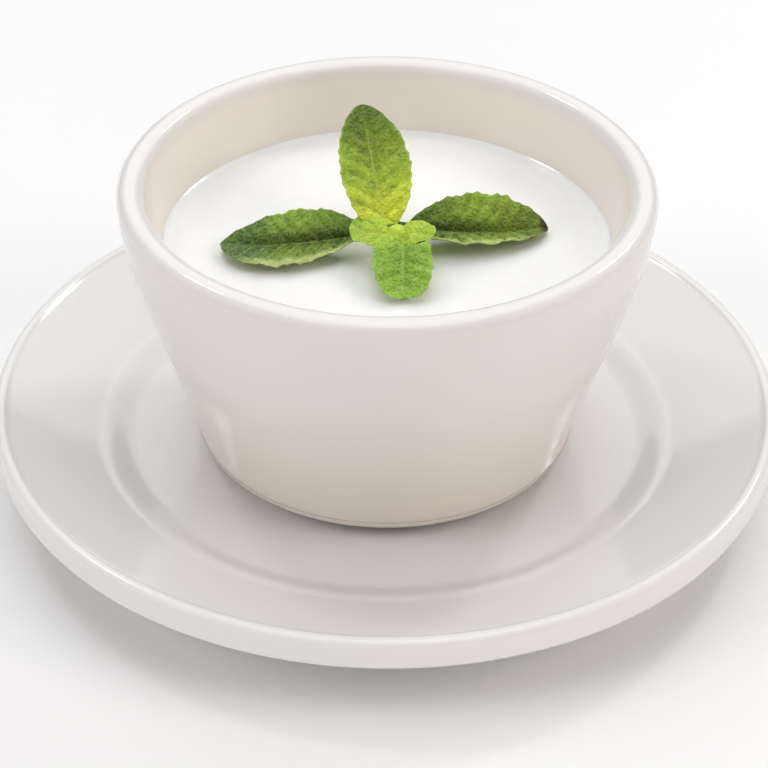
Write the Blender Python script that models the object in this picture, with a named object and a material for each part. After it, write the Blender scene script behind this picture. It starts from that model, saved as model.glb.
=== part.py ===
# Bowl of yogurt: a white cup-shaped bowl on its saucer, filled with yogurt, with a mint sprig on top.
# Metres, +Z up. The origin is under the middle of the saucer, on the surface it stands on.
# The front is -Y. The left and right of the sprig are as seen from the front.
from math import cos, pi, radians, sin

import bmesh
import bpy
from mathutils import Vector

MM = 0.001
ROUND_STEPS = 64
CONTACT_GAP = 0.3 * MM
WELD = 0.001 * MM

# Saucer
SAUCER_R = 76.4 * MM
SAUCER_LIP_TOP = 17.0 * MM
SAUCER_LIP_R = 1.5 * MM
SAUCER_LIP_START = 135
SAUCER_LIP_FACE = 4.6 * MM
SAUCER_HEEL_R = 1.8 * MM
WELL_EDGE_R = 56.4 * MM
WELL_EDGE_Z = 9.3 * MM
WELL_FLOOR_R = 49.0 * MM
WELL_FLOOR_Z = 7.0 * MM
FLAT_SAG = 0.25 * MM
SAUCER_BODY = 4.2 * MM
FOOT_OUT_R = 43.5 * MM
FOOT_IN_R = 39.0 * MM
FOOT_H = 2.8 * MM
FOOT_SLOPE = 1.2 * MM
FOOT_EDGE = 0.5 * MM

# Bowl
BOWL_BASE_Z = WELL_FLOOR_Z + CONTACT_GAP
BOWL_H = 56.2 * MM
RIM_R = 50.0 * MM
RIM_Z = BOWL_BASE_Z + BOWL_H
LIP_WALL = 5.2 * MM
WALL = 5.9 * MM
LIP_FADE = 5
LIP_OUT_ROUND = 2.2 * MM
LIP_IN_ROUND = 2.4 * MM
LIP_IN_START = 170
HEEL_ROUND = 4.0 * MM
HEEL_CENTRE_R = 33.2 * MM
HEEL_CENTRE_DEPTH = 51.2 * MM
BOWL_FOOT_R = 30.0 * MM
BOWL_FOOT_IN_R = 26.5 * MM
BOWL_FOOT_H = 1.1 * MM
BOWL_FOOT_EDGE = 0.6 * MM
BOWL_FLOOR_THICK = 4.7 * MM
BOWL_FLOOR_Z = BOWL_BASE_Z + BOWL_FLOOR_THICK
INNER_ROUND = 9.0 * MM
# places on the inner wall, where 1 is the heel and 0 the lip, closer together at the lip
INNER_STEPS = (0.84, 0.72, 0.6, 0.48, 0.37, 0.27, 0.18, 0.1, 0.05, 0.02)
# the outer wall is a cubic curve: the distance of its four knots inwards from and below the rim
WALL_CURVE = ((0.15, 3.6), (0.8, 16.0), (9.2, 36.0), (13.1, 52.3))

# Yogurt
FILL_DEPTH = 14.1 * MM
FILL_Z = RIM_Z - FILL_DEPTH
MENISCUS = 1.0 * MM
MENISCUS_WIDTH = 3.0 * MM
MENISCUS_CURVE = 2.5

# Mint sprig
LEAF_THICK = 0.5 * MM
STALK_WIDTH = 1.3 * MM
STALK_STEP = 1.5
HEART = Vector((1.9, -4.0, 53.2)) * MM
HEART_R = 2.1 * MM
HEART_LIFT = 0.2 * MM
HEART_TALL = 1.25
HEART_FLAT = 0.8
STEM_R = 1.2 * MM
STEM_TAPER = 0.85


def arc(cx, cz, radius, start, end, steps):
    """Points of a round stretch of a profile, angles in degrees from +X."""
    out = []
    for i in range(steps + 1):
        a = radians(start + (end - start) * i / steps)
        out.append((cx + radius * cos(a), cz + radius * sin(a)))
    return out


def bezier(p0, p1, p2, p3, t):
    """A point of a cubic curve."""
    q = 1 - t
    k = (q ** 3, 3 * q * q * t, 3 * q * t * t, t ** 3)
    return tuple(k[0] * a + k[1] * b + k[2] * c + k[3] * d for a, b, c, d in zip(p0, p1, p2, p3))


def material(name, colour, roughness):
    mat = bpy.data.materials.new(name)
    mat.use_nodes = True
    bsdf = mat.node_tree.nodes["Principled BSDF"]
    bsdf.inputs["Base Color"].default_value = (*colour, 1)
    bsdf.inputs["Roughness"].default_value = roughness
    bsdf.inputs["Metallic"].default_value = 0
    return mat


def finish(name, bm, mat, sharp=35):
    """Makes the object from a bmesh, with its normals out and smooth shading."""
    bmesh.ops.recalc_face_normals(bm, faces=bm.faces)
    mesh = bpy.data.meshes.new(name)
    bm.to_mesh(mesh)
    bm.free()
    mesh.shade_smooth()
    mesh.set_sharp_from_angle(angle=radians(sharp))
    obj = bpy.data.objects.new(name, mesh)
    obj.data.materials.append(mat)
    bpy.context.scene.collection.objects.link(obj)
    return obj


def turned(name, profile, mat):
    """Turns a profile, which starts and ends on the axis, about Z into a closed solid."""
    bm = bmesh.new()
    verts = [bm.verts.new((r, 0, z)) for r, z in profile]
    edges = [bm.edges.new(pair) for pair in zip(verts, verts[1:])]
    bmesh.ops.spin(bm, geom=verts + edges, cent=(0, 0, 0), axis=(0, 0, 1),
                   angle=2 * pi, steps=ROUND_STEPS, use_merge=True)
    bmesh.ops.remove_doubles(bm, verts=bm.verts, dist=WELD)
    return finish(name, bm, mat)


def saucer_profile():
    lip = arc(SAUCER_R - SAUCER_LIP_R, SAUCER_LIP_TOP - SAUCER_LIP_R, SAUCER_LIP_R, SAUCER_LIP_START, 0, 5)
    lip_in, lip_z = lip[0]
    under = SAUCER_LIP_TOP - SAUCER_LIP_FACE
    top = [(0, WELL_FLOOR_Z), (0.5 * WELL_FLOOR_R, WELL_FLOOR_Z)]
    # the well's wall is a soft S from its floor up to the start of the sloping flat
    for i in range(5):
        t = i / 4
        ease = t * t * (3 - 2 * t)
        top.append((WELL_FLOOR_R + (WELL_EDGE_R - WELL_FLOOR_R) * t,
                    WELL_FLOOR_Z + (WELL_EDGE_Z - WELL_FLOOR_Z) * ease))
    top.append((0.5 * (WELL_EDGE_R + lip_in), 0.5 * (WELL_EDGE_Z + lip_z) - FLAT_SAG))
    heel = arc(SAUCER_R - SAUCER_HEEL_R, under, SAUCER_HEEL_R, 0, -70, 3)
    bottom = [(WELL_EDGE_R, WELL_EDGE_Z - SAUCER_BODY),
              (FOOT_OUT_R + FOOT_SLOPE, FOOT_H),
              (FOOT_OUT_R, FOOT_H - FOOT_EDGE),
              (FOOT_OUT_R - FOOT_EDGE, 0), (FOOT_IN_R + FOOT_EDGE, 0),
              (FOOT_IN_R, FOOT_H - FOOT_EDGE), (FOOT_IN_R - FOOT_SLOPE, FOOT_H),
              (0, FOOT_H)]
    return top + lip + heel + bottom


def bowl_outer(t):
    """The bowl's outer wall, from under the lip (t = 0) down to the heel (t = 1)."""
    return bezier(*((RIM_R - inwards * MM, RIM_Z - below * MM) for inwards, below in WALL_CURVE), t)


def bowl_inner(t):
    """The inner wall: the outer wall moved in by the wall, which thickens towards the lip."""
    step = 0.001
    ax, az = bowl_outer(t - step)
    bx, bz = bowl_outer(t + step)
    x, z = bowl_outer(t)
    run = Vector((bx - ax, bz - az)).normalized()
    wall = WALL + (LIP_WALL - WALL) * (1 - t) ** LIP_FADE
    return x + run.y * wall, z - run.x * wall


def inner_radius(z):
    """Radius of the bowl's inside at a height between its floor's round and its lip."""
    low, high = 0.0, 1.0
    for _ in range(30):
        mid = (low + high) / 2
        if bowl_inner(mid)[1] > z:
            low = mid
        else:
            high = mid
    return bowl_inner(low)[0]


def floor_round(grow):
    """The round between the inner wall and the floor; grow moves it inwards by a gap."""
    r = inner_radius(BOWL_FLOOR_Z + INNER_ROUND)
    centre = r - INNER_ROUND
    return arc(centre, BOWL_FLOOR_Z + INNER_ROUND, INNER_ROUND - grow, -10, -90, 4)


def bowl_profile():
    outside = [bowl_outer(i / 8) for i in range(9)]
    lip_out = arc(RIM_R - LIP_OUT_ROUND, RIM_Z - LIP_OUT_ROUND, LIP_OUT_ROUND, 90, 0, 3)
    lip_in_x = RIM_R - LIP_WALL + LIP_IN_ROUND
    lip_in = arc(lip_in_x, RIM_Z - LIP_IN_ROUND, LIP_IN_ROUND, LIP_IN_START, 90, 4)
    inner_end = BOWL_FLOOR_Z + INNER_ROUND
    inside = [bowl_inner(t) for t in INNER_STEPS if bowl_inner(t)[1] > inner_end]
    heel = arc(HEEL_CENTRE_R, RIM_Z - HEEL_CENTRE_DEPTH, HEEL_ROUND, -15, -90, 3)
    foot_top = heel[-1][1]
    foot = [(BOWL_FOOT_R + BOWL_FOOT_EDGE, foot_top), (BOWL_FOOT_R, foot_top - BOWL_FOOT_EDGE),
            (BOWL_FOOT_R - 0.5 * BOWL_FOOT_EDGE, BOWL_BASE_Z), (BOWL_FOOT_IN_R, BOWL_BASE_Z),
            (BOWL_FOOT_IN_R - BOWL_FOOT_EDGE, BOWL_BASE_Z + BOWL_FOOT_H), (0, BOWL_BASE_Z + BOWL_FOOT_H)]
    floor = [(0, BOWL_FLOOR_Z)] + floor_round(0)[::-1]
    return floor + inside + lip_in + lip_out + outside + heel + foot


def yogurt_profile():
    contact = FILL_Z + MENISCUS
    edge = inner_radius(contact) - CONTACT_GAP
    top = [(0, FILL_Z), (0.35 * edge, FILL_Z), (0.7 * edge, FILL_Z)]
    # the surface climbs the wall a little, where it clings
    for i in range(5):
        t = i / 4
        top.append((edge - MENISCUS_WIDTH * (1 - t), FILL_Z + MENISCUS * t ** MENISCUS_CURVE))
    low = BOWL_FLOOR_Z + INNER_ROUND
    side = []
    for i in range(1, 5):
        z = contact + (low - contact) * i / 5
        side.append((inner_radius(z) - 1.05 * CONTACT_GAP, z))
    return top + side + floor_round(CONTACT_GAP) + [(0, BOWL_FLOOR_Z + CONTACT_GAP)]


# One entry for each leaf. The angles are in degrees and the lengths in millimetres.
# width: twice the reach of the left half and of the right half
# heading: the way it points, from +X towards the back, at the stalk and at the tip
# lift: how steeply it climbs, at the stalk and at the tip
# roll: how far its left side is raised, at the stalk and at the tip
# fold: how far each half is folded up from the midrib, left and right
# form: how fast each half widens from the stalk and narrows to the tip, left and right
LEAVES = {
    "left": dict(stalk=6.0, length=27.0, width=(17.6, 12.6), heading=(178, 182), lift=(-14, 2),
                 roll=(-26, -12), fold=(20, 20), form=((0.85, 0.50), (0.62, 0.80)), rows=21,
                 start=(-0.4, 0.2, 1.9)),
    "right": dict(stalk=2.4, length=27.4, width=(15.2, 15.2), heading=(12, 8), lift=(-16, 3), roll=(20, 14),
                  fold=(30, 30), form=((0.75, 0.66), (0.42, 0.55)), rows=21, start=(-0.4, 2.8, 0.9)),
    "back": dict(stalk=1.6, length=25.0, width=(14.2, 14.2), heading=(110, 103), lift=(50, 38), roll=(0, 0),
                 fold=(12, 12), form=((0.50, 0.62), (0.66, 0.66)), rows=21, start=(-1.5, 0.8, -1.4)),
    "front": dict(stalk=1.0, length=17.6, width=(11.4, 11.4), heading=(270, 272), lift=(10, -34), roll=(8, 0),
                  fold=(14, 14), form=((0.42, 0.28), (0.42, 0.30)), rows=18, start=(0.9, 0.6, 0.6)),
    "young_left": dict(stalk=0.6, length=8.6, width=(9.6, 9.6), heading=(180, 190), lift=(20, -12),
                       roll=(-10, 0), fold=(10, 10), form=((0.45, 0.36), (0.45, 0.36)), rows=9,
                       start=(0.3, -1.4, 0.4)),
    "young_right": dict(stalk=0.6, length=6.4, width=(7.2, 7.2), heading=(-6, -26), lift=(30, -4),
                        roll=(16, 0), fold=(10, 10), form=((0.45, 0.40), (0.45, 0.40)), rows=9,
                        start=(0.2, -1.9, 0.4)),
}
HALF_COLUMNS = 3
TOOTH_LENGTH = 3.0
TOOTH_DEPTH = 0.06
WAVE = 0.35
WAVE_LENGTH = 6.0
SIDE_PHASE = 1.3


def half_width(leaf, u, side):
    """Half the blade's width at u along it, with its teeth; side is 0 on the left and 1 on the right."""
    rise, fall = leaf["form"][side]
    widest = rise / (rise + fall)
    peak = widest ** rise * (1 - widest) ** fall
    plain = u ** rise * (1 - u) ** fall / peak * leaf["width"][side] / 2
    tooth = (u * leaf["length"] / TOOTH_LENGTH) % 1.0
    return max(plain * (1 - TOOTH_DEPTH * (1 - tooth)), STALK_WIDTH / MM / 2)


def leaf_sections(leaf):
    """Cross sections from the stalk to the tip, each a list of (upper point, lower point)."""
    whole = leaf["stalk"] + leaf["length"]
    stalk_rows = max(1, round(leaf["stalk"] / STALK_STEP))
    places = [-leaf["stalk"] * (1 - i / stalk_rows) for i in range(stalk_rows)]
    places += [leaf["length"] * i / leaf["rows"] for i in range(leaf["rows"] + 1)]
    point = HEART / MM + Vector(leaf["start"])
    last_s = places[0]
    last_dir = None
    out = []
    for s in places:
        u = max(0.0, s / leaf["length"])
        turns = (leaf["heading"], leaf["lift"], leaf["roll"])
        heading, lift, roll = (radians(a + (b - a) * u) for a, b in turns)
        ahead = Vector((cos(heading) * cos(lift), sin(heading) * cos(lift), sin(lift)))
        if last_dir is not None:
            point = point + (ahead + last_dir) * 0.5 * (s - last_s)
        last_s, last_dir = s, ahead
        level = Vector((-sin(heading), cos(heading), 0))
        upright = ahead.cross(level)
        left = level * cos(roll) + upright * sin(roll)
        normal = upright * cos(roll) - level * sin(roll)
        row = []
        for j in range(-HALF_COLUMNS, HALF_COLUMNS + 1):
            v = j / HALF_COLUMNS
            side = 0 if v > 0 else 1
            fold = radians(leaf["fold"][side]) if v else 0.0
            sign = 1 if v > 0 else -1
            reach = abs(v) * half_width(leaf, u, side)
            wave = WAVE * v * v * u * (1 - u) * 4 * sin(2 * pi * s / WAVE_LENGTH + side * SIDE_PHASE)
            upper = point + left * sign * reach * cos(fold) + normal * (reach * sin(fold) + wave)
            skin = normal * cos(fold) - left * sign * sin(fold)
            row.append((upper * MM, upper * MM - skin * LEAF_THICK))
        out.append(row)
    return out


def leaf_solid(name, leaf, mat):
    """A thin wavy solid with both faces split into triangles alike."""
    bm = bmesh.new()
    rows = [[(bm.verts.new(a), bm.verts.new(b)) for a, b in row] for row in leaf_sections(leaf)]
    last = len(rows[0]) - 1
    for one, two in zip(rows, rows[1:]):
        for j in range(last):
            for k in (0, 1):
                bm.faces.new((one[j][k], one[j + 1][k], two[j + 1][k]))
                bm.faces.new((one[j][k], two[j + 1][k], two[j][k]))
        for j in (0, last):
            bm.faces.new((one[j][0], two[j][0], two[j][1], one[j][1]))
    for row in (rows[0], rows[-1]):
        for j in range(last):
            bm.faces.new((row[j][0], row[j + 1][0], row[j + 1][1], row[j][1]))
    return finish(name, bm, mat)


def stem_solid(mat):
    """The cut stem: it runs from the sprig's heart down to the yogurt."""
    foot = FILL_Z + CONTACT_GAP
    bm = bmesh.new()
    bmesh.ops.create_cone(bm, cap_ends=True, segments=12, radius1=STEM_R, radius2=STEM_TAPER * STEM_R,
                          depth=HEART.z - foot)
    bmesh.ops.translate(bm, verts=bm.verts, vec=(HEART.x, HEART.y, (HEART.z + foot) / 2))
    return finish("stem", bm, mat)


def heart_solid(mat):
    """The swelling where the leaves meet, with the closed bud on it."""
    bm = bmesh.new()
    bmesh.ops.create_uvsphere(bm, u_segments=12, v_segments=8, radius=HEART_R)
    for v in bm.verts:
        v.co.z *= HEART_TALL if v.co.z > 0 else HEART_FLAT
    bmesh.ops.translate(bm, verts=bm.verts, vec=HEART + Vector((0, 0, HEART_LIFT)))
    return finish("heart", bm, mat)


def sprig(mat):
    """Leaves, stem and bud fused into one solid."""
    pieces = bpy.data.collections.new("sprig_pieces")
    bpy.context.scene.collection.children.link(pieces)
    solids = [leaf_solid("leaf_" + name, leaf, mat) for name, leaf in LEAVES.items()]
    solids.append(stem_solid(mat))
    for obj in solids:
        bpy.context.scene.collection.objects.unlink(obj)
        pieces.objects.link(obj)
    whole = heart_solid(mat)
    whole.name = "mint_sprig"
    union = whole.modifiers.new("union", "BOOLEAN")
    union.operation = "UNION"
    union.operand_type = "COLLECTION"
    union.collection = pieces
    union.solver = "MANIFOLD"
    graph = bpy.context.evaluated_depsgraph_get()
    mesh = bpy.data.meshes.new_from_object(whole.evaluated_get(graph))
    whole.modifiers.clear()
    whole.data = mesh
    for obj in solids:
        bpy.data.objects.remove(obj)
    bpy.data.collections.remove(pieces)
    return whole


for old in list(bpy.data.objects):
    bpy.data.objects.remove(old)

glaze = material("white glaze", (0.85, 0.83, 0.80), 0.12)
turned("saucer", saucer_profile(), glaze)
turned("bowl", bowl_profile(), glaze.copy())
turned("yogurt", yogurt_profile(), material("yogurt", (0.94, 0.93, 0.90), 0.35))
sprig(material("mint", (0.20, 0.42, 0.06), 0.5))
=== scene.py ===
import math

import bmesh
import bpy
from mathutils import Matrix, Vector, noise


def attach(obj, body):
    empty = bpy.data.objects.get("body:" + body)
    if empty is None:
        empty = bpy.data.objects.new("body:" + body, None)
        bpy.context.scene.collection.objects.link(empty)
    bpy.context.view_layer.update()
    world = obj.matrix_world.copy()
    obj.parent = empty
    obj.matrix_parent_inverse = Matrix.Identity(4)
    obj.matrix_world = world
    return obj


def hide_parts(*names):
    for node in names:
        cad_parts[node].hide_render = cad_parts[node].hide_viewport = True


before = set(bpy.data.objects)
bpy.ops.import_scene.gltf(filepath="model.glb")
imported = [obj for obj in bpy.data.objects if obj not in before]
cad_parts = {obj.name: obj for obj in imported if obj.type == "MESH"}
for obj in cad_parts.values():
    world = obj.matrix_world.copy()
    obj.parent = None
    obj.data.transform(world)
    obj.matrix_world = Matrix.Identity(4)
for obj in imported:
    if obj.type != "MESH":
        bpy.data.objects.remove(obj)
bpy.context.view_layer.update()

mm = 0.001


class Wire:                      # a node's output: + - * / ** and abs on it add Math nodes
    def __init__(self, finish, socket):
        self.finish = finish
        self.socket = socket

    def __add__(self, other):
        return self.finish.math("ADD", self, other)

    def __sub__(self, other):
        return self.finish.math("SUBTRACT", self, other)

    def __mul__(self, other):
        return self.finish.math("MULTIPLY", self, other)

    def __truediv__(self, other):
        return self.finish.math("DIVIDE", self, other)

    def __pow__(self, other):
        return self.finish.math("POWER", self, other)

    def __radd__(self, other):
        return self.finish.math("ADD", other, self)

    def __rsub__(self, other):
        return self.finish.math("SUBTRACT", other, self)

    def __rmul__(self, other):
        return self.finish.math("MULTIPLY", other, self)

    def __abs__(self):
        return self.finish.math("ABSOLUTE", self)

    def out(self, name):
        return Wire(self.finish, self.socket.node.outputs[name])

    def ramp(self, low, high):   # 0 below low, 1 above high, soft between
        return self.finish.add("MapRange", dict(interpolation_type="SMOOTHSTEP"), self, low, high)


class Finish:                    # one material with its Principled shader
    def __init__(self, name, **plain):
        self.material = bpy.data.materials.new(name)
        self.material.use_nodes = True
        self.tree = self.material.node_tree
        self.shader = self.tree.nodes["Principled BSDF"]
        for socket, value in plain.items():
            self.shader.inputs[socket.replace("_", " ")].default_value = value

    def plug(self, socket, value):
        if isinstance(value, Wire):
            self.tree.links.new(value.socket, socket)
        elif socket.type == "RGBA":
            socket.default_value = (*value, 1)
        else:
            socket.default_value = value

    def add(self, kind, settings=None, *values, **named):
        node = self.tree.nodes.new("ShaderNode" + kind)
        for key, value in (settings or {}).items():
            setattr(node, key, value)
        for socket, value in zip([s for s in node.inputs if s.enabled], values):
            self.plug(socket, value)
        for key, value in named.items():
            self.plug(node.inputs[key], value)
        return Wire(self, next(s for s in node.outputs if s.enabled))

    def math(self, operation, *values):
        return self.add("Math", dict(operation=operation), *values)

    def blend(self, factor, first, second):
        return self.add("Mix", dict(data_type="RGBA"), factor, first, second)

    def spot(self):              # object coordinates
        return self.add("TexCoord").out("Object")

    def place(self, size):       # object coordinates, measured in units of the given size
        return self.add("VectorMath", dict(operation="SCALE"), self.spot(), Scale=1 / size)

    def reach(self):             # distance from the axis
        flat = self.add("VectorMath", dict(operation="MULTIPLY"), self.spot(), (1, 1, 0))
        return self.add("VectorMath", dict(operation="LENGTH"), flat).out("Value")

    def cloud(self, size, detail=3, rough=0.5):
        return self.add("TexNoise", None, Vector=self.place(size), Scale=1.0, Detail=detail, Roughness=rough)

    def feed(self, socket, value):
        self.plug(self.shader.inputs[socket], value)

    def bump(self, height, depth):
        self.feed("Normal", self.add("Bump", None, Strength=1.0, Distance=depth, Height=height))


def linked(name, data):          # a new object in the scene
    thing = bpy.data.objects.new(name, data)
    bpy.context.scene.collection.objects.link(thing)
    return thing


def dress(piece, finish, node):       # what every piece needs
    piece.data.materials.append(finish.material)
    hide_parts(node)
    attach(piece, "root")


def meshPiece(name, verts, faces, attribute=None, sharp=None):
    mesh = bpy.data.meshes.new(name)
    mesh.from_pydata([tuple(v) for v in verts], [], faces)
    if attribute:
        title, values = attribute
        layer = mesh.attributes.new(title, "FLOAT_VECTOR", "POINT")
        layer.data.foreach_set("vector", [part for value in values for part in value])
    bm = bmesh.new()
    bm.from_mesh(mesh)
    bmesh.ops.recalc_face_normals(bm, faces=bm.faces)
    bm.to_mesh(mesh)
    bm.free()
    mesh.shade_smooth()
    if sharp:
        mesh.set_sharp_from_angle(angle=math.radians(sharp))
    return linked(name, mesh)


def turnedPiece(name, profile, steps, shift=None):    # the profile starts and ends on the axis
    rings = profile[1:-1]
    verts = [Vector((0, 0, profile[0][1]))]
    for r, z in rings:
        for k in range(steps):
            a = 2 * math.pi * k / steps
            verts.append(Vector((r * math.cos(a), r * math.sin(a), z)))
    verts.append(Vector((0, 0, profile[-1][1])))
    if shift:
        verts = [v + shift(v) for v in verts]
    faces = []
    last = len(verts) - 1
    top = last - steps
    for k in range(steps):
        n = (k + 1) % steps
        faces.append((0, 1 + n, 1 + k))
        faces.append((last, top + k, top + n))
        for ring in range(len(rings) - 1):
            one, two = 1 + ring * steps, 1 + (ring + 1) * steps
            faces.append((one + k, one + n, two + n, two + k))
    return meshPiece(name, verts, faces, sharp=50)


def arc(cx, cz, radius, start, end, steps):
    angles = [math.radians(start + (end - start) * i / steps) for i in range(steps + 1)]
    return [(cx + radius * math.cos(a), cz + radius * math.sin(a)) for a in angles]


def line(start, end, steps):     # points of a straight stretch, without its ends
    return [tuple(a + (b - a) * i / steps for a, b in zip(start, end)) for i in range(1, steps)]


def soft(t):                     # 0 below 0, 1 above 1, soft between
    t = min(1.0, max(0.0, t))
    return t * t * (3 - 2 * t)


# camera: where the photo was taken from, with its angles in degrees
camera = dict(lens=103.1, sensor=36.0, nearest=0.01, place=(-0.3 * mm, -352.3 * mm, 267.8 * mm),
              down=35.5, roll=0.57)


def makeCamera():
    data = bpy.data.cameras.new("camera")
    data.lens = camera["lens"]
    data.sensor_width = camera["sensor"]
    data.clip_start = camera["nearest"]
    down, roll = math.radians(camera["down"]), math.radians(camera["roll"])
    ahead = Vector((0, math.cos(down), -math.sin(down)))
    up = Vector((1, 0, 0)).cross(ahead)
    right = Vector((math.cos(roll), 0, 0)) + math.sin(roll) * up
    tilted = math.cos(roll) * up - Vector((math.sin(roll), 0, 0))
    turn = Matrix((right, tilted, -ahead)).transposed().to_4x4()
    cam = linked("camera", data)
    cam.matrix_world = Matrix.Translation(camera["place"]) @ turn
    bpy.context.scene.camera = cam


# fired clay: slow waves in its round, none at the foot
clay = dict(waveSize=22 * mm, footHigh=1.0 * mm)


def clayWaves(piece):            # they only draw the outline in, so the size stays true
    def shift(v):
        out = Vector((v.x, v.y, 0))
        if out.length < piece["calmInside"] or v.z < clay["footHigh"]:
            return Vector((0, 0, 0))
        wobble = noise.noise(v / clay["waveSize"]) - 0.5
        return out.normalized() * piece["unevenness"] * wobble
    return shift


# saucer: the same sizes as the CAD, with finer rounds; the well is the flat middle
saucer = dict(radius=76.4 * mm, lipTop=17.0 * mm, lipRound=1.5 * mm, lipStart=135, lipFace=4.6 * mm,
              heelRound=1.8 * mm, heelEnd=-70, wellEdge=(56.4 * mm, 9.3 * mm),
              wellFloor=(49.0 * mm, 7.0 * mm), body=4.2 * mm, sag=0.25 * mm, footOut=43.5 * mm,
              footIn=39.0 * mm, footHigh=2.8 * mm, footSlope=1.2 * mm, footFlare=0.6 * mm,
              footRound=0.3 * mm, footInset=0.6 * mm, steps=224, wellSteps=14, flangeSteps=20,
              unevenness=0.05 * mm, calmInside=46 * mm)


def saucerProfile():
    s = saucer
    lip = arc(s["radius"] - s["lipRound"], s["lipTop"] - s["lipRound"], s["lipRound"], s["lipStart"], 0, 18)
    lipIn, lipZ = lip[0]
    under = s["lipTop"] - s["lipFace"]
    floorR, floorZ = s["wellFloor"]
    edgeR, edgeZ = s["wellEdge"]
    points = [(0, floorZ)] + line((0, floorZ), (floorR, floorZ), s["wellSteps"])
    for i in range(s["wellSteps"] + 1):
        t = i / s["wellSteps"]
        points.append((floorR + (edgeR - floorR) * t, floorZ + (edgeZ - floorZ) * soft(t)))
    for i in range(1, s["flangeSteps"]):
        t = i / s["flangeSteps"]
        points.append((edgeR + (lipIn - edgeR) * t, edgeZ + (lipZ - edgeZ) * t - s["sag"] * 4 * t * (1 - t)))
    points += lip
    points += arc(s["radius"] - s["heelRound"], under, s["heelRound"], 0, s["heelEnd"], 10)
    low = (edgeR, edgeZ - s["body"])
    points += line(points[-1], low, 8) + [low]
    foot = (s["footOut"] + s["footSlope"], s["footHigh"])
    points += line(low, foot, 6) + [foot]
    # the foot ring, with small rounds on its edges
    flare = s["footHigh"] - s["footFlare"]
    points += [(s["footOut"], flare), (s["footOut"] - s["footRound"], s["footRound"]),
               (s["footOut"] - s["footInset"], 0), (s["footIn"] + s["footInset"], 0),
               (s["footIn"] + s["footRound"], s["footRound"]), (s["footIn"], flare),
               (s["footIn"] - s["footSlope"], s["footHigh"])]
    return points + line(points[-1], (0, s["footHigh"]), 6) + [(0, s["footHigh"])]


# bowl: the same sizes as the CAD, with finer rounds
# wallCurve lists how far in from the rim and how far below it the outer wall is drawn
bowl = dict(base=7.3 * mm, rim=63.5 * mm, rimR=50.0 * mm, lipWall=5.2 * mm, wall=5.9 * mm, lipFade=5,
            lipOut=2.2 * mm, lipIn=2.4 * mm, lipInStart=170,
            wallCurve=((0.15 * mm, 3.6 * mm), (0.8 * mm, 16 * mm), (9.2 * mm, 36 * mm)),
            wallDepth=52.3 * mm, heelR=36.9 * mm, heelRound=4.0 * mm, heelOut=0.3 * mm,
            heelDepth=51.2 * mm, heelStart=-15, footR=30.0 * mm, footIn=26.5 * mm, footHigh=1.1 * mm,
            footStep=0.6 * mm, footRound=(0.3 * mm, 0.4 * mm), footSlope=0.8 * mm, floor=12.0 * mm,
            innerRound=9.0 * mm, innerStart=-10, innerFrom=0.02, innerRun=0.84, innerCrowd=1.3,
            wallSteps=70, steps=224, unevenness=0.06 * mm, calmInside=31 * mm,
            insideFrom=20 * mm, insideTo=62.5 * mm, insideFade=3 * mm, facing=1.3)


def bowlOuter(t):                # the outer wall from under the lip down to the heel
    knots = [(bowl["rimR"] - inwards, bowl["rim"] - below) for inwards, below in bowl["wallCurve"]]
    knots.append((bowl["heelR"], bowl["rim"] - bowl["wallDepth"]))
    weights = ((1 - t) ** 3, 3 * t * (1 - t) ** 2, 3 * t * t * (1 - t), t ** 3)
    return tuple(sum(w * k[axis] for w, k in zip(weights, knots)) for axis in (0, 1))


def bowlInner(t):
    near, far = Vector(bowlOuter(t - 0.001)), Vector(bowlOuter(t + 0.001))
    run = (far - near).normalized()
    wall = bowl["wall"] + (bowl["lipWall"] - bowl["wall"]) * (1 - t) ** bowl["lipFade"]
    x, z = bowlOuter(t)
    return x + run.y * wall, z - run.x * wall


def innerRadius(z):
    low, high = 0.0, 1.0
    for _ in range(30):
        middle = (low + high) / 2
        if bowlInner(middle)[1] > z:
            low = middle
        else:
            high = middle
    return bowlInner(low)[0]


def floorRound(gap, steps):      # between the floor and the inner wall; a negative gap reaches into the wall
    b = bowl
    top = b["floor"] + b["innerRound"]
    centre = innerRadius(top) - b["innerRound"]
    return arc(centre, top, b["innerRound"] - gap, b["innerStart"], -90, steps)


def bowlProfile():
    b = bowl
    base, rim, rimR = b["base"], b["rim"], b["rimR"]
    steps = b["wallSteps"]
    points = [(0, b["floor"])]
    rounded = floorRound(0, 14)[::-1]
    points += line(points[0], rounded[0], 8) + rounded
    for i in range(steps + 1):   # up the inside, with more points towards the lip
        point = bowlInner(b["innerFrom"] + b["innerRun"] * (1 - i / steps) ** b["innerCrowd"])
        if point[1] > b["floor"] + b["innerRound"]:
            points.append(point)
    points += arc(rimR - b["lipWall"] + b["lipIn"], rim - b["lipIn"], b["lipIn"], b["lipInStart"], 90, 18)
    points += arc(rimR - b["lipOut"], rim - b["lipOut"], b["lipOut"], 90, 0, 14)
    points += [bowlOuter(i / steps) for i in range(steps + 1)]
    heelCentre = b["heelR"] - b["heelRound"] + b["heelOut"]
    heel = arc(heelCentre, rim - b["heelDepth"], b["heelRound"], b["heelStart"], -90, 12)
    footTop = heel[-1][1]
    inset, rise = b["footRound"]
    points += heel + [(b["footR"] + b["footStep"], footTop), (b["footR"], footTop - rise),
                      (b["footR"] - inset, base), (b["footIn"], base),
                      (b["footIn"] - b["footSlope"], base + b["footHigh"])]
    return points + line(points[-1], (0, base + b["footHigh"]), 4) + [(0, base + b["footHigh"])]


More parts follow.
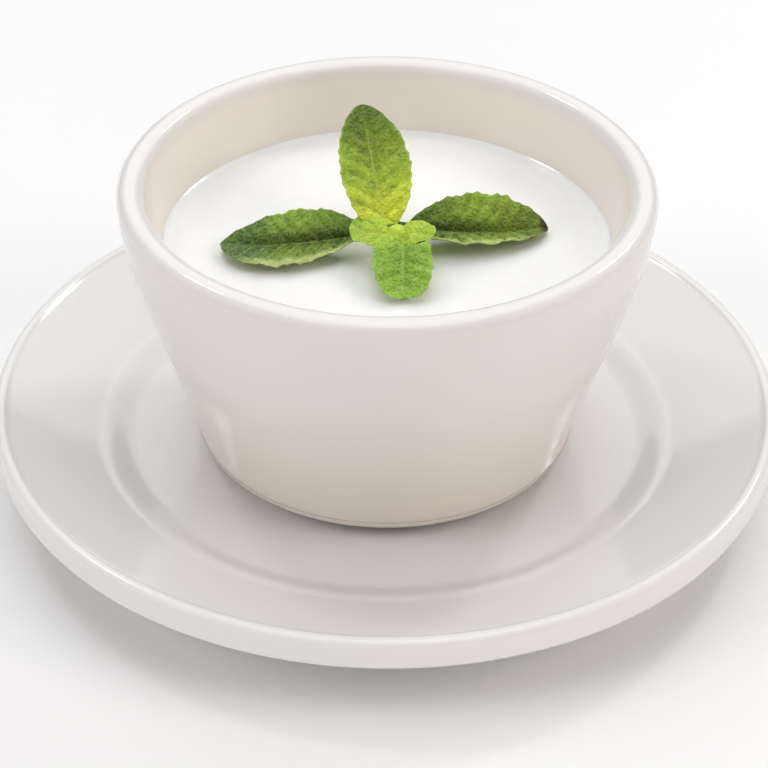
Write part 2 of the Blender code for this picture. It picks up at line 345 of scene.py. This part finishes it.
def markInsideShade(mesh):            # 1 on the faces that look at the axis, fading below the lip: where the painted warm shade goes
    layer = mesh.attributes.new("inside", "FLOAT", "POINT")
    for vert, normal, value in zip(mesh.vertices, mesh.vertex_normals, layer.data):
        outward = Vector((vert.co.x, vert.co.y, 0))
        facing = -normal.vector.dot(outward.normalized()) if outward.length > 1 * mm else 0.0
        below = soft((bowl["insideTo"] - vert.co.z) / bowl["insideFade"])
        value.value = below * soft(facing * bowl["facing"]) if vert.co.z > bowl["insideFrom"] else 0.0


# glaze: glossy white stoneware with painted shade, darker and warmer low down; its edges are paler and the
# foot is bare clay
glaze = dict(edge=(0.88, 0.87, 0.855), edgeShare=0.8, insideShare=0.8, bare=(0.62, 0.56, 0.49),
             bareDark=0.9, bareRough=0.6, bareRelief=0.6, poolSize=16 * mm, poolShare=0.1,
             lowShadeFrom=48 * mm, lowShadeTo=14 * mm, lowShadeShare=0.6, gloss=0.10, worn=0.17, smearSize=9 * mm,
             fineSize=1.4 * mm, fineRelief=0.12, slowSize=7 * mm, ripple=0.02 * mm)
# poolAndShadeTone is the tone of the random glaze pools and of the painted shade low down
saucerGlaze = dict(white=(0.85, 0.845, 0.83), poolAndShadeTone=(0.82, 0.805, 0.785), edgeZ=saucer["lipTop"],
                   edgeWidth=1.6 * mm, bareBelow=0.35 * mm, footR=saucer["footOut"])
# inside is painted warm shade, for the light bounced inside the bowl
bowlGlaze = dict(white=(0.82, 0.80, 0.777), poolAndShadeTone=(0.79, 0.72, 0.64), edgeZ=bowl["rim"],
                 edgeWidth=2.4 * mm, bareBelow=bowl["base"] + 0.15 * mm, footR=bowl["footR"],
                 inside=(0.925, 0.86, 0.785))


def glazeFinish(name, own):
    g = glaze
    f = Finish(name, IOR=1.52)
    height = f.add("SeparateXYZ", None, f.spot()).out("Z")
    pools = f.cloud(g["poolSize"], 4, 0.55).ramp(0.35, 0.75)
    fine = f.cloud(g["fineSize"], 3, 0.6)
    # painted shade: the glaze is drawn darker and warmer towards the bottom
    low = 1 - height.ramp(own["edgeZ"] - g["lowShadeFrom"], own["edgeZ"] - g["lowShadeTo"])
    colour = f.blend(pools * g["poolShare"] + low * g["lowShadeShare"], own["white"], own["poolAndShadeTone"])
    # painted shade: the inner wall is drawn warm beige where it faces the axis
    if "inside" in own:
        inside = f.add("Attribute", dict(attribute_name="inside")).out("Fac")
        colour = f.blend(inside * g["insideShare"], colour, own["inside"])
    edge = 1 - (abs(height - own["edgeZ"]) / own["edgeWidth"]).ramp(0.0, 1.0)
    colour = f.blend(edge * g["edgeShare"], colour, g["edge"])
    lowDown = 1 - height.ramp(own["bareBelow"] - 0.2 * mm, own["bareBelow"])
    bare = lowDown * (1 - f.reach().ramp(own["footR"], own["footR"] + 1 * mm))
    biscuit = f.blend(fine, tuple(c * g["bareDark"] for c in g["bare"]), g["bare"])
    f.feed("Base Color", f.blend(bare, colour, biscuit))
    smears = f.cloud(g["smearSize"], 5, 0.6).ramp(0.45, 0.8)
    f.feed("Roughness", smears * (g["worn"] - g["gloss"]) + g["gloss"] + bare * g["bareRough"])
    slow = f.cloud(g["slowSize"], 2, 0.4)
    f.bump(slow + fine * (g["fineRelief"] + g["bareRelief"] * bare), g["ripple"])
    return f


# yogurt: smooth and wet, climbing the wall a little, with slow swells on its top
yogurt = dict(fill=49.4 * mm, meniscus=1.0 * mm, meniscusWidth=3.0 * mm, meniscusCurve=2.5,
              intoWall=0.35 * mm, steps=200, rings=72, ringCrowd=1.15, sideSteps=16,
              swell=0.16 * mm, swellSize=15 * mm, ripple=0.28, rippleSize=5.5 * mm,
              calmFrom=34 * mm, calmWidth=9 * mm,
              pale=(0.965, 0.962, 0.948), shade=(0.95, 0.944, 0.927), gloss=0.24, moist=0.35,
              wetFrom=2.4 * mm, wetTo=1.0 * mm, patchSize=11 * mm, grainSize=0.9 * mm,
              grain=0.16, relief=0.05 * mm)


def yogurtProfile():
    y = yogurt
    contact = y["fill"] + y["meniscus"]
    edge = innerRadius(contact) + y["intoWall"]
    points = [(0, y["fill"])]
    for i in range(1, y["rings"] + 1):
        t = i / y["rings"]
        r = edge * (1 - (1 - t) ** y["ringCrowd"])
        climb = max(0.0, (r - edge + y["meniscusWidth"]) / y["meniscusWidth"])
        points.append((r, y["fill"] + y["meniscus"] * climb ** y["meniscusCurve"]))
    low = bowl["floor"] + bowl["innerRound"]
    for i in range(1, y["sideSteps"]):
        z = contact + (low - contact) * i / y["sideSteps"]
        points.append((innerRadius(z) + y["intoWall"], z))
    points += floorRound(-y["intoWall"], 8)
    return points + [(0, bowl["floor"] - y["intoWall"])]


def slowSwells(v):               # on the top only, fading at the wall
    y = yogurt
    if v.z < y["fill"] - 1 * mm:
        return Vector((0, 0, 0))
    fade = 1 - soft((math.hypot(v.x, v.y) - y["calmFrom"]) / y["calmWidth"])
    swirl = noise.noise(Vector((v.x, v.y * 1.6, 3 * mm)) / y["swellSize"])
    small = noise.noise(Vector((v.x * 1.3, v.y, 9 * mm)) / y["rippleSize"]) * y["ripple"]
    return Vector((0, 0, y["swell"] * fade * (swirl + small)))


def yogurtFinish():
    y = yogurt
    f = Finish("yogurt", IOR=1.4, Subsurface_Weight=0.25, Subsurface_Scale=0.004,
               Subsurface_Radius=(1.0, 0.75, 0.5), Coat_Roughness=0.09)
    slow = f.cloud(y["patchSize"], 3, 0.5)
    fine = f.cloud(y["grainSize"], 4, 0.65)
    f.feed("Base Color", f.blend(slow.ramp(0.3, 0.8), y["pale"], y["shade"]))
    f.feed("Roughness", y["gloss"] + slow * 0.12 + fine * 0.06)
    edge = innerRadius(y["fill"] + y["meniscus"])
    wet = f.reach().ramp(edge - y["wetFrom"], edge - y["wetTo"])     # a wet line where it climbs the wall
    f.feed("Coat Weight", slow.ramp(0.25, 0.7) * y["moist"] * (1 - wet) + wet)
    f.bump(slow + fine * y["grain"], y["relief"])
    return f


# mint: the leaves of the CAD, with teeth, sunken veins and the puckers between them
# lengths are in millimetres and angles in degrees, as seen from the leaf's own stalk
# a pair is for the leaf's left and right half, or for its stalk and tip; near is the half seen in front
sprig = dict(heart=(1.9, -4.0, 53.2), heartRound=2.1, heartTall=(0.95, 0.8), heartRidge=0.16,
             heartLumps=0.22, heartLift=0.2, stem=1.2, stemTaper=0.85, stemSunk=0.4,
             stemGreen=((0.62, 0.78, 0.09), (0.47, 0.66, 0.075)),
             thick=0.34, edgeThin=0.55, rib=0.45, ribWidth=0.5, stalk=1.1, stalkTaper=0.8,
             toothPitch=2.1, toothSkew=1.6, toothDepth=0.04, toothFull=3.0, ragged=0.03,
             veinPitch=2.9, veinLean=0.72, veinBend=0.018, wave=0.35, waveLength=6.0, waveShift=1.3,
             cushion=0.75, cushionRound=0.7, blister=0.7, crinkle=0.9, marginFrom=0.7, marginCalm=0.65,
             grooveWidth=0.75, across=44, perMm=6.0)
# veinGrooveShade, nearShade and creaseShade set how much painted shade a leaf gets
plainLeaf = dict(near=0, nearShade=1.0, groove=0.3, creaseShade=0.15, fringeGlow=0.0, scorch=0.0, margin=0.35,
                 veins=0.3, veinGrooveShade=0.2, net=0.3, tipFrom=(0.5, 0.95))
leaves = {
    "left": dict(
        plainLeaf, stalk=6.0, length=27.0, width=(17.6, 12.6), heading=(178, 182), lift=(-14, 2),
        roll=(-26, -12), fold=(20, 20), form=((0.85, 0.50), (0.62, 0.80)), start=(-0.4, 0.2, 1.9),
        pucker=0.62, groove=0.9, near=1, nearShade=0.68, creaseShade=1.0, fringeGlow=0.9, scorch=0.15, margin=0.1,
        veins=0.32, veinGrooveShade=0.34, net=0.35, tipFrom=(0.45, 0.8),
        low=(0.15, 0.265, 0.042), middle=(0.31, 0.475, 0.064), tip=(0.13, 0.22, 0.062)),
    "right": dict(
        plainLeaf, stalk=2.4, length=27.4, width=(15.2, 15.2), heading=(12, 8), lift=(-16, 3),
        roll=(20, 14), fold=(30, 30), form=((0.75, 0.66), (0.42, 0.55)), start=(-0.4, 2.8, 0.9),
        pucker=0.62, groove=0.75, near=-1, nearShade=0.72, creaseShade=0.9, fringeGlow=0.8, scorch=1.0, margin=0.1,
        veins=0.25, veinGrooveShade=0.30, tipFrom=(0.6, 0.98),
        # its low colour is leaf green darkened with painted shade at the stalk end
        low=(0.11, 0.2, 0.035), middle=(0.32, 0.475, 0.057), tip=(0.2, 0.26, 0.04)),
    "back": dict(
        plainLeaf, stalk=1.6, length=25.0, width=(14.2, 14.2), heading=(110, 103), lift=(50, 38),
        roll=(0, 0), fold=(12, 12), form=((0.50, 0.62), (0.66, 0.66)), start=(-1.5, 0.8, -1.4),
        pucker=0.5, creaseShade=0.12, scorch=0.1, veins=0.28, veinGrooveShade=0.16, net=0.35, tipFrom=(0.42, 0.95),
        low=(0.84, 0.96, 0.085), middle=(0.38, 0.545, 0.062), tip=(0.09, 0.17, 0.023)),
    "front": dict(
        plainLeaf, stalk=1.0, length=17.6, width=(11.4, 11.4), heading=(270, 272), lift=(10, -34),
        roll=(8, 0), fold=(14, 14), form=((0.42, 0.28), (0.42, 0.30)), start=(0.9, 0.6, 0.6),
        pucker=0.5, creaseShade=0.2, veinGrooveShade=0.26, net=0.75,
        low=(0.54, 0.76, 0.07), middle=(0.29, 0.495, 0.056), tip=(0.33, 0.54, 0.07)),
    "youngLeft": dict(
        plainLeaf, stalk=0.6, length=8.6, width=(9.6, 9.6), heading=(180, 190), lift=(20, -12),
        roll=(-10, 0), fold=(10, 10), form=((0.45, 0.36), (0.45, 0.36)), start=(0.3, -1.4, 0.4),
        pucker=0.32, groove=0.2,
        low=(0.62, 0.8, 0.07), middle=(0.48, 0.71, 0.067), tip=(0.4, 0.64, 0.066)),
    "youngRight": dict(
        plainLeaf, stalk=0.6, length=6.4, width=(7.2, 7.2), heading=(-6, -26), lift=(30, -4),
        roll=(16, 0), fold=(10, 10), form=((0.45, 0.40), (0.45, 0.40)), start=(0.2, -1.9, 0.4),
        pucker=0.3, groove=0.2,
        low=(0.58, 0.77, 0.07), middle=(0.47, 0.7, 0.067), tip=(0.4, 0.63, 0.066)),
}
underMark = 10.0                 # added to the sideways place on a leaf's underside


def halfWidth(leaf, u, side):
    rise, fall = leaf["form"][side]
    widest = rise / (rise + fall)
    peak = widest ** rise * (1 - widest) ** fall
    plain = u ** rise * (1 - u) ** fall / peak * leaf["width"][side] / 2
    tooth = (u * leaf["length"] / sprig["toothPitch"]) % 1.0
    notch = 0.5 + 0.5 * math.cos(2 * math.pi * tooth ** sprig["toothSkew"])
    ragged = noise.noise(Vector((u * leaf["length"] * 0.8, side * 7.0, leaf["length"]))) * sprig["ragged"]
    bite = (sprig["toothDepth"] * notch + ragged) * min(1.0, plain / sprig["toothFull"])
    return max(plain * (1 - bite), sprig["stalk"] / 2 * (1 - sprig["stalkTaper"] * u))


def veinPlace(leaf, s, reach):   # whole numbers lie on a side vein; the veins run out and forwards
    return (s - sprig["veinLean"] * reach + sprig["veinBend"] * reach * reach) / sprig["veinPitch"]


def relief(leaf, s, reach, v):   # puckers between the veins, fine crinkles and the sunken midrib
    u = max(0.0, s / leaf["length"])
    swell = 0.5 - 0.5 * math.cos(2 * math.pi * veinPlace(leaf, s, reach))
    cover = soft(reach / 1.2) * soft(u * 6) * soft((1 - u) * 5)
    cover *= 1 - sprig["marginCalm"] * soft((abs(v) - sprig["marginFrom"]) / (1 - sprig["marginFrom"]))
    where = Vector((s, reach + (0 if v > 0 else 40), leaf["length"]))
    cushion = sprig["cushion"] * swell ** sprig["cushionRound"]
    blister = noise.noise(where * 0.75) * sprig["blister"]
    crinkle = abs(noise.noise(where * 1.7)) * sprig["crinkle"]
    groove = math.exp(-(reach / sprig["grooveWidth"]) ** 2) * soft((1 - u) * 3) * soft(u * 8)
    return leaf["pucker"] * cover * (cushion + blister - crinkle) - leaf["groove"] * groove


def leafRows(leaf):              # along the midrib: how far, and where its point, side and face are
    whole = leaf["stalk"] + leaf["length"]
    count = round(whole * sprig["perMm"])
    step = whole / count
    point = Vector(sprig["heart"]) + Vector(leaf["start"])
    last = None
    for i in range(count + 1):
        s = -leaf["stalk"] + i * step
        u = min(1.0, max(0.0, s / leaf["length"]))
        turns = (leaf["heading"], leaf["lift"], leaf["roll"])
        heading, lift, roll = [math.radians(a + (b - a) * u) for a, b in turns]
        level = Vector((-math.sin(heading), math.cos(heading), 0))
        ahead = Vector((math.cos(heading), math.sin(heading), 0)) * math.cos(lift)
        ahead.z = math.sin(lift)
        if last is not None:
            point = point + (ahead + last) * 0.5 * step
        last = ahead
        upright = ahead.cross(level)
        left = level * math.cos(roll) + upright * math.sin(roll)
        normal = upright * math.cos(roll) - level * math.sin(roll)
        yield s, u, point, left, normal


def leafPiece(name, leaf):
    half = sprig["across"] // 2
    wide = 2 * half + 1
    upper, lower, marks = [], [], []
    for s, u, point, left, normal in leafRows(leaf):
        for j in range(-half, half + 1):
            v = j / half
            side, sign = (0, 1) if v > 0 else (1, -1)
            fold = math.radians(leaf["fold"][side]) * soft(abs(v) * 5)
            reach = abs(v) * halfWidth(leaf, u, side)
            wave = sprig["wave"] * v * v * u * (1 - u) * 4
            wave *= math.sin(2 * math.pi * s / sprig["waveLength"] + side * sprig["waveShift"])
            lifted = reach * math.sin(fold) + wave + relief(leaf, s, reach, v)
            top = point + left * sign * reach * math.cos(fold) + normal * lifted
            skin = normal * math.cos(fold) - left * sign * math.sin(fold)
            thin = sprig["thick"] * (1.0 - sprig["edgeThin"] * abs(v) ** 3)
            thin += sprig["rib"] * math.exp(-(reach / sprig["ribWidth"]) ** 2) * (1 - u)
            upper.append(top * mm)
            lower.append((top - skin * thin) * mm)
            marks.append((u, v, veinPlace(leaf, s, reach)))
    under = len(upper)
    faces = []
    for row in range(0, under - wide, wide):
        for a in range(row, row + wide - 1):
            b = a + wide
            faces.append((a, a + 1, b + 1, b))
            faces.append((under + a, under + b, under + b + 1, under + a + 1))
        for a in (row, row + wide - 1):          # both margins
            faces.append((a, a + wide, under + a + wide, under + a))
    for row in (0, under - wide):                # the stalk's cut end and the tip
        for a in range(row, row + wide - 1):
            faces.append((a, a + 1, under + a + 1, under + a))
    marks += [(u, v + underMark, p) for u, v, p in marks]
    return meshPiece("mint_" + name, upper + lower, faces, ("leafPlace", marks))


# leaf finish: the sizes of what the eye sees on a leaf, and the colours that all leaves share
leafLook = dict(patchSize=3.2 * mm, mottleSize=0.8 * mm, cellSize=0.95 * mm, grainSize=0.35 * mm,
                patchShade=0.22, mottleShade=0.16, dark=(0.012, 0.03, 0.008), fringeGlow=(0.54, 0.63, 0.23),
                scorch=(0.05, 0.032, 0.02), underShare=0.75, dull=0.44, sheen=0.15, relief=0.42 * mm)


def leafFinish(name, leaf):
    look = leafLook
    f = Finish("mint " + name, IOR=1.42, Subsurface_Weight=0.10, Subsurface_Scale=0.001,
               Subsurface_Radius=(0.5, 1.0, 0.1), Coat_Roughness=0.3)
    split = f.add("SeparateXYZ", None, f.add("Attribute", dict(attribute_name="leafPlace")).out("Vector"))
    along, sideways, place = split.out("X"), split.out("Y"), split.out("Z")
    beneath = sideways.ramp(underMark * 0.4, underMark * 0.5)
    sideways = sideways - beneath * underMark
    across = abs(sideways)
    near = (sideways * leaf["near"]).ramp(0.0, 0.12)
    patches = f.cloud(look["patchSize"], 4, 0.6)
    mottle = f.cloud(look["mottleSize"], 4, 0.7)
    toEdge = dict(feature="DISTANCE_TO_EDGE")
    cells = f.add("TexVoronoi", toEdge, Vector=f.place(look["cellSize"]), Scale=1.0)
    # from the stalk to the tip, with drifting borders
    drift = along + (patches - 0.5) * 0.5
    toMiddle, toTip = drift.ramp(0.05, 0.5), drift.ramp(*leaf["tipFrom"])
    colour = f.blend(toTip, f.blend(toMiddle, leaf["low"], leaf["middle"]), leaf["tip"])
    # painted shade: darker in the grooves along the fine veins, on the near half and in the crease, over
    # random mottle and patches
    wave = f.math("COSINE", (place + (mottle - 0.5) * 0.22) * (2 * math.pi)) * 0.5 + 0.5
    shade = 1 - mottle.ramp(0.45, 0.75) * look["mottleShade"] - patches.ramp(0.45, 0.75) * look["patchShade"]
    shade = shade * (1 - wave ** 3 * (1 - across * 0.7) * leaf["veinGrooveShade"])
    # painted shade on the near half
    shade = shade * (1 - near * (1 - leaf["nearShade"]))
    # painted shade in the crease along the midrib, from the stalk to past the middle
    creaseShade = (1 - across.ramp(0.05, 0.5)) * (1 - along.ramp(0.4, 0.9)) * along.ramp(-0.3, 0.0)
    shade = shade * (1 - creaseShade * leaf["creaseShade"] * (0.82 + 0.1 * near))
    colour = f.blend(1 - shade, colour, look["dark"])
    # paler veins, broken up
    pale = tuple(min(0.8, c * 1.5 + 0.06) for c in leaf["middle"])
    sideVein = wave ** 14 * (1 - across * 0.6) * across.ramp(0.02, 0.12) * (0.4 + patches)
    midrib = (1 - across.ramp(0.015, 0.06)) * (1 - along.ramp(0.5, 0.95) * 0.7)
    net = (1 - cells.ramp(0.0, 0.12)) * mottle
    veins = f.math("MAXIMUM", sideVein * (leaf["veins"] * (1 + near)), midrib * (leaf["veins"] * 1.5))
    colour = f.blend(f.math("MAXIMUM", veins, net * leaf["net"]), colour, pale)
    # light margins, a painted glow as a yellow fringe on the near half, and the scorched tip
    colour = f.blend(across.ramp(0.9, 1.0) * leaf["margin"], colour, pale)
    # painted light: the near half's edge is drawn pale yellow, for light shining through the thin leaf and
    # off the yogurt under it
    fringeGlow = (across + (mottle - 0.5) * 0.25).ramp(0.66, 0.86) * near * along.ramp(0.0, 0.12)
    fringeGlow = fringeGlow * (1 - along.ramp(0.7, 0.92)) * leaf["fringeGlow"]
    colour = f.blend(fringeGlow * (0.5 + patches), colour, look["fringeGlow"])
    scorch = (along + (mottle - 0.5) * 0.08).ramp(0.93, 0.985) * leaf["scorch"]
    colour = f.blend(scorch, colour, look["scorch"])
    back = tuple(min(0.8, c * 0.9 + 0.07) for c in leaf["middle"])
    f.feed("Base Color", f.blend(beneath * look["underShare"], colour, back))
    f.feed("Roughness", look["dull"] + patches * 0.18)
    f.feed("Coat Weight", patches.ramp(0.4, 0.7) * look["sheen"])
    grain = f.cloud(look["grainSize"], 3, 0.6)
    f.bump(cells.ramp(0.0, 0.35) * 0.5 + grain * 0.3 - sideVein * 0.4, look["relief"])
    return f


def heartPiece():                # the stem's top, where the leaves meet, a lumpy ball with soft ridges
    above, below = sprig["heartTall"]
    bm = bmesh.new()
    bmesh.ops.create_uvsphere(bm, u_segments=28, v_segments=18, radius=sprig["heartRound"])
    for v in bm.verts:
        v.co.z *= above if v.co.z > 0 else below
        ridge = sprig["heartRidge"] * math.cos(4 * math.atan2(v.co.y, v.co.x))
        v.co.x *= 1 + ridge
        v.co.y *= 1 - ridge
        v.co += v.co.normalized() * noise.noise(v.co * 1.3) * sprig["heartLumps"]
    middle = Vector(sprig["heart"]) + Vector((0, 0, sprig["heartLift"]))
    bmesh.ops.translate(bm, verts=bm.verts, vec=middle)
    bmesh.ops.scale(bm, verts=bm.verts, vec=(mm, mm, mm))
    mesh = bpy.data.meshes.new("mint_heart")
    bm.to_mesh(mesh)
    bm.free()
    mesh.shade_smooth()
    return linked("mint_heart", mesh)


def stemPiece():
    heart = Vector(sprig["heart"]) * mm
    foot = yogurt["fill"] - sprig["stemSunk"] * mm
    wide = sprig["stem"] * mm
    narrow = wide * sprig["stemTaper"]
    profile = [(0, foot), (wide, foot)] + line((wide, foot), (narrow, heart.z), 6)
    profile += [(narrow, heart.z), (0, heart.z + 0.1 * (heart.z - foot))]
    piece = turnedPiece("mint_stem", profile, 20)
    piece.data.transform(Matrix.Translation((heart.x, heart.y, 0)))
    return piece


def stemFinish():
    f = Finish("mint stem", IOR=1.42, Subsurface_Weight=0.15, Subsurface_Scale=0.001, Roughness=0.45)
    grain = f.cloud(1.2 * mm, 4, 0.6)
    f.feed("Base Color", f.blend(grain.ramp(0.35, 0.7), *sprig["stemGreen"]))
    f.bump(grain, 0.15 * mm)
    return f


# studio: a pale paper floor under a dim white sky, lit softly from above, behind, both sides and the front
# lamps stand at a place and look at a height on the axis; mirrored ones show in the glaze
studio = dict(sky=(1.0, 0.955, 0.99), skyPower=0.104, floorSize=6.0, paper=(0.955, 0.96, 0.965),
              paperShade=0.995, paperPatch=0.4)
lamps = {
    "top": dict(at=(0, 0, 1.5), aim=0.03, size=(1.2, 1.2), watts=7.4, colour=(0.965, 1, 1), mirrored=True),
    "topBack": dict(at=(0, 1.0, 1.2), aim=0.03, size=(2.0, 1.3), watts=9.0, colour=(0.99, 1, 1),
                    mirrored=True),
    "left": dict(at=(-1.1, -0.3, 0.8), aim=0.05, size=(0.7, 0.6), watts=4.9, colour=(1, 0.95, 0.95),
                 mirrored=False),
    "right": dict(at=(1.1, -0.3, 0.8), aim=0.05, size=(0.7, 0.6), watts=5.5, colour=(1, 0.91, 0.87),
                  mirrored=False),
    "front": dict(at=(0.1, -1.5, 0.32), aim=0.05, size=(1.2, 0.5), watts=5.6, colour=(1, 0.91, 0.8),
                  mirrored=False),
    "glintLeft": dict(at=(-0.6, 0.49, 1.08), aim=0.05, size=(0.16, 0.2), watts=1.1, colour=(1, 1, 1),
                      mirrored=True),
    "glintRight": dict(at=(0.65, 0.735, 0.89), aim=0.05, size=(0.16, 0.2), watts=2.0, colour=(1, 1, 1),
                       mirrored=True),
}


def makeStudio():
    world = bpy.data.worlds.new("studio")
    world.use_nodes = True
    sky = world.node_tree.nodes["Background"]
    sky.inputs["Color"].default_value = (*studio["sky"], 1)
    sky.inputs["Strength"].default_value = studio["skyPower"]
    bpy.context.scene.world = world
    for name, lamp in lamps.items():
        data = bpy.data.lights.new(name, "AREA")
        data.shape = "RECTANGLE"
        data.size, data.size_y = lamp["size"]
        data.energy = lamp["watts"]
        data.color = lamp["colour"]
        light = linked(name, data)
        light.visible_glossy = lamp["mirrored"]
        light.location = lamp["at"]
        towards = Vector((0, 0, lamp["aim"])) - light.location
        light.rotation_euler = towards.to_track_quat("-Z", "Y").to_euler()
    half = studio["floorSize"] / 2
    corners = [(-half, -half, 0), (half, -half, 0), (half, half, 0), (-half, half, 0)]
    ground = meshPiece("floor", corners, [(0, 1, 2, 3)])
    paper = Finish("floor paper", Roughness=0.9)
    shaded = tuple(c * studio["paperShade"] for c in studio["paper"])
    paper.feed("Base Color", paper.blend(paper.cloud(studio["paperPatch"]), studio["paper"], shaded))
    ground.data.materials.append(paper.material)
    bpy.context.scene.view_settings.view_transform = "Standard"


makeCamera()
makeStudio()
print("camera and studio are in place")

saucerBody = turnedPiece("saucer_turned", saucerProfile(), saucer["steps"], clayWaves(saucer))
dress(saucerBody, glazeFinish("saucer glaze", saucerGlaze), "saucer")
bowlBody = turnedPiece("bowl_turned", bowlProfile(), bowl["steps"], clayWaves(bowl))
markInsideShade(bowlBody.data)
dress(bowlBody, glazeFinish("bowl glaze", bowlGlaze), "bowl")
print("saucer and bowl are turned")

filling = turnedPiece("yogurt_fill", yogurtProfile(), yogurt["steps"], slowSwells)
dress(filling, yogurtFinish(), "yogurt")
print("yogurt is filled in")

for name, leaf in leaves.items():
    dress(leafPiece(name, leaf), leafFinish(name, leaf), "mint_sprig")
green = stemFinish()
dress(heartPiece(), green, "mint_sprig")
dress(stemPiece(), green, "mint_sprig")
print("mint sprig is laid on top")
